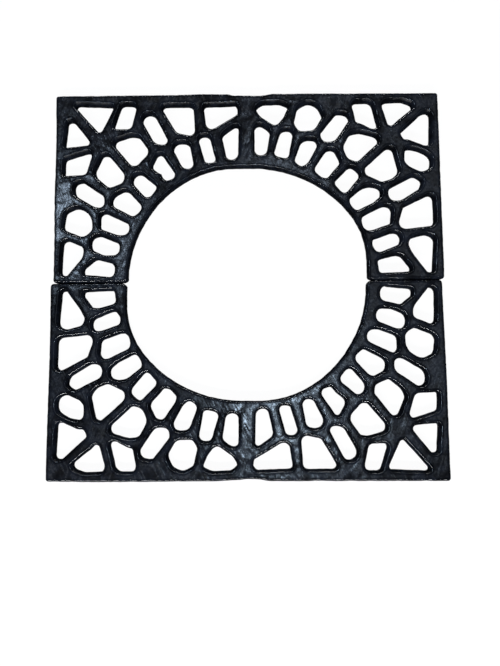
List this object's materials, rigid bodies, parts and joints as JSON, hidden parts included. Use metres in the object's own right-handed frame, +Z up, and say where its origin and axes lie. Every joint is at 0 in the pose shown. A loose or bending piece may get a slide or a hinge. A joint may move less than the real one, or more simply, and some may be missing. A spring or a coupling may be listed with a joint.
{
  "type": "tree grate",
  "caption": "Square cast-iron grate in two like halves round a tree opening, pierced by pebble-shaped drain openings with drafted walls",
  "frame": {"origin": "middle of the seam between the halves, on the underside", "axes": "+X along the seam, +Y from the seam to the rear half, +Z up out of the walking face"},
  "size_m": [1.0106, 1.006, 0.022],
  "materials": {
    "painted_iron": "gloss black paint over the cast skin, brushed on, with a fine grain under it"
  },
  "bodies": {
    "root": {"rear_half": "painted_iron", "front_half": "painted_iron"}
  },
  "joints": []
}
